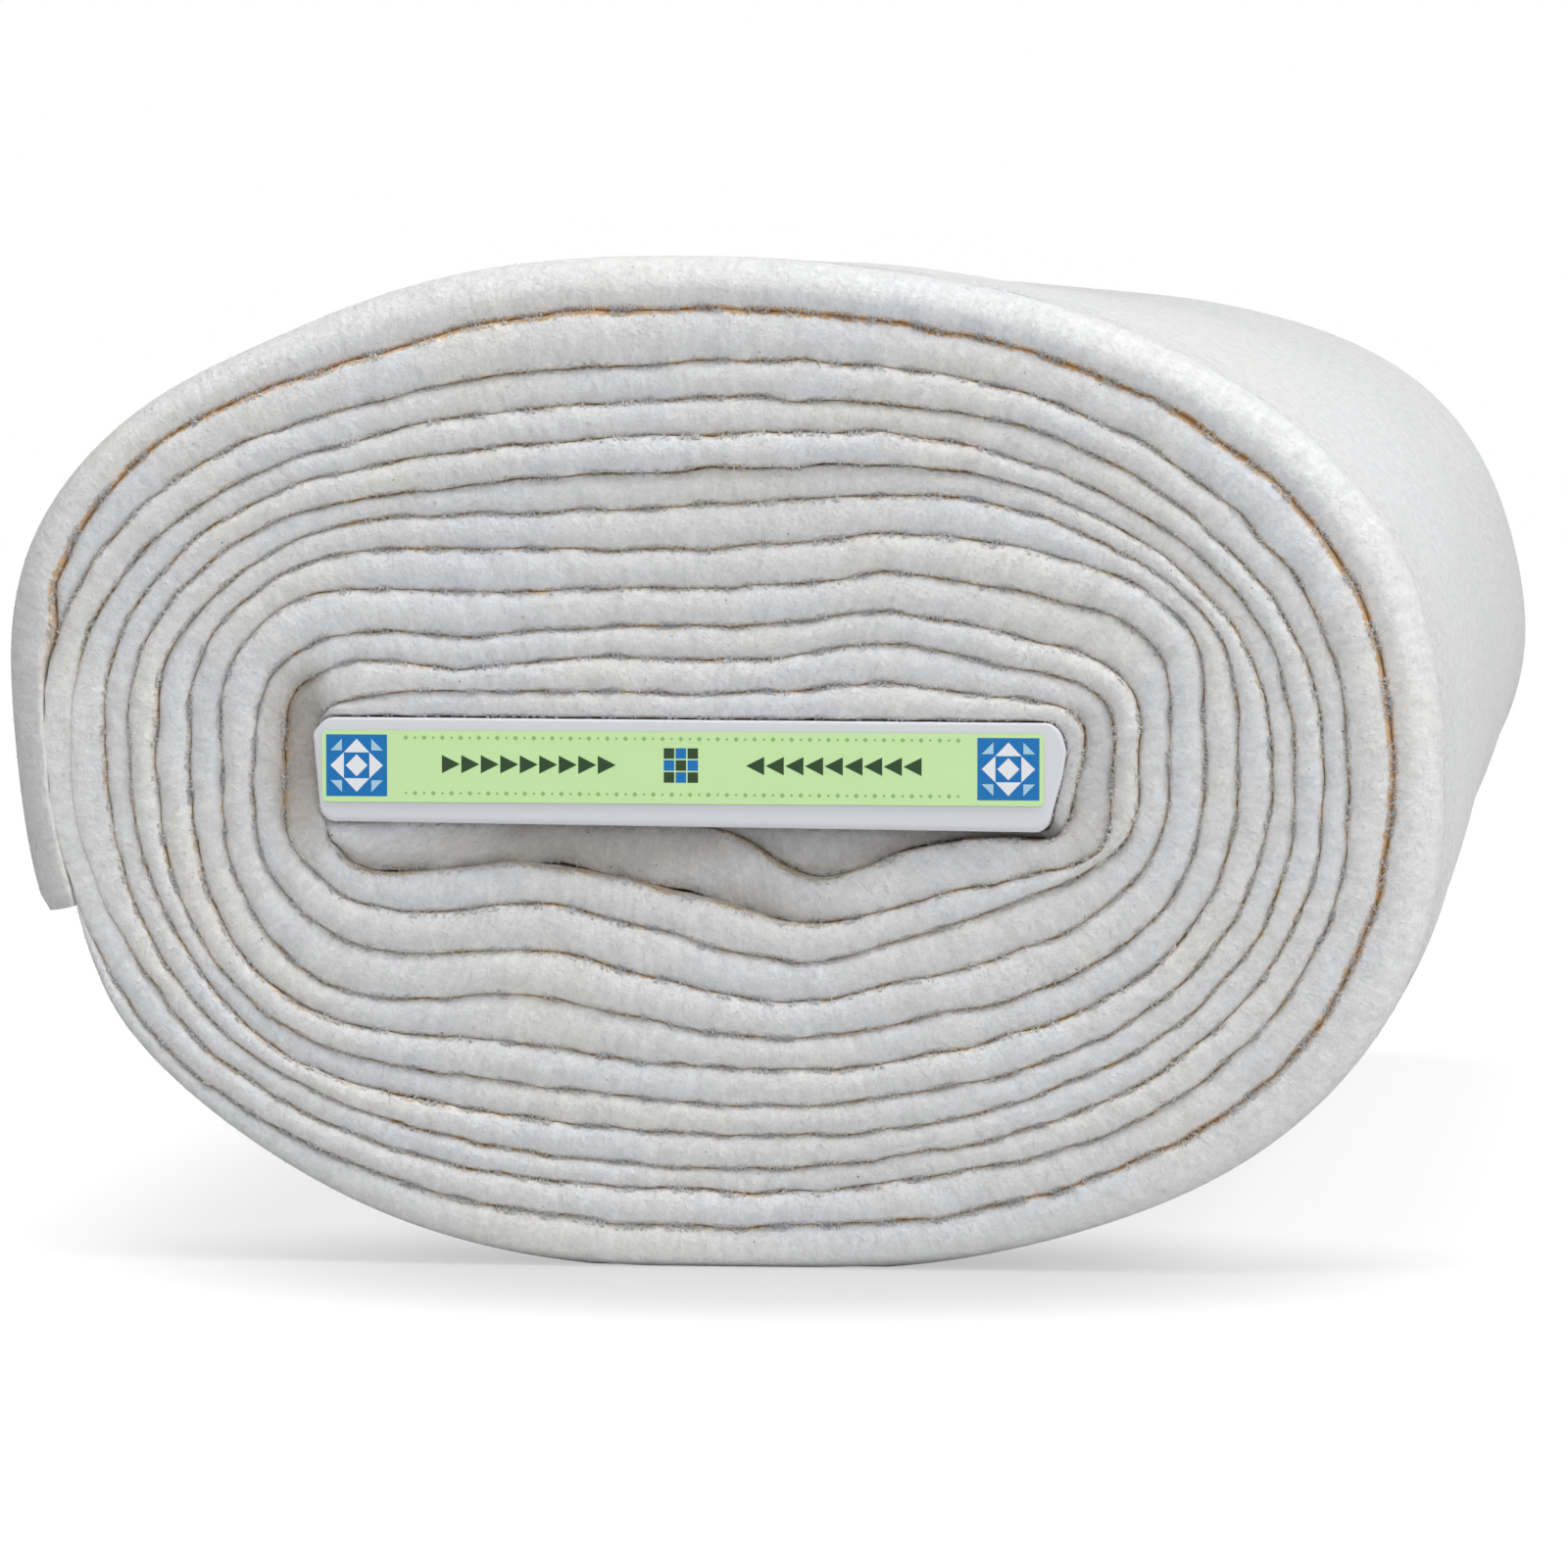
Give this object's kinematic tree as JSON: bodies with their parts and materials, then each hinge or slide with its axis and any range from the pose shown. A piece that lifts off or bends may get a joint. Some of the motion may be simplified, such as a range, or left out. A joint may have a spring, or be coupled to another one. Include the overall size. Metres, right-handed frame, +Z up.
{
  "type": "roll of quilt batting on a cardboard board",
  "caption": "Strip of folded quilt batting wound on a flat cardboard board, with a loose end and a label on the board's end.",
  "frame": {"origin": "bottom centre of the whole roll, on the surface it rests on", "axes": "+Z up, +Y along the roll from its labelled end to its far end, +X to the right as seen from the labelled end"},
  "size_m": [0.4094, 0.7652, 0.288],
  "materials": {
    "batting": "soft felted cotton and polyester fibre, off white",
    "board": "white lined card, matte",
    "label": "printed paper, light green with a blue block"
  },
  "bodies": {
    "root": {"batting": "batting", "board": "board", "label": "label"}
  },
  "joints": []
}
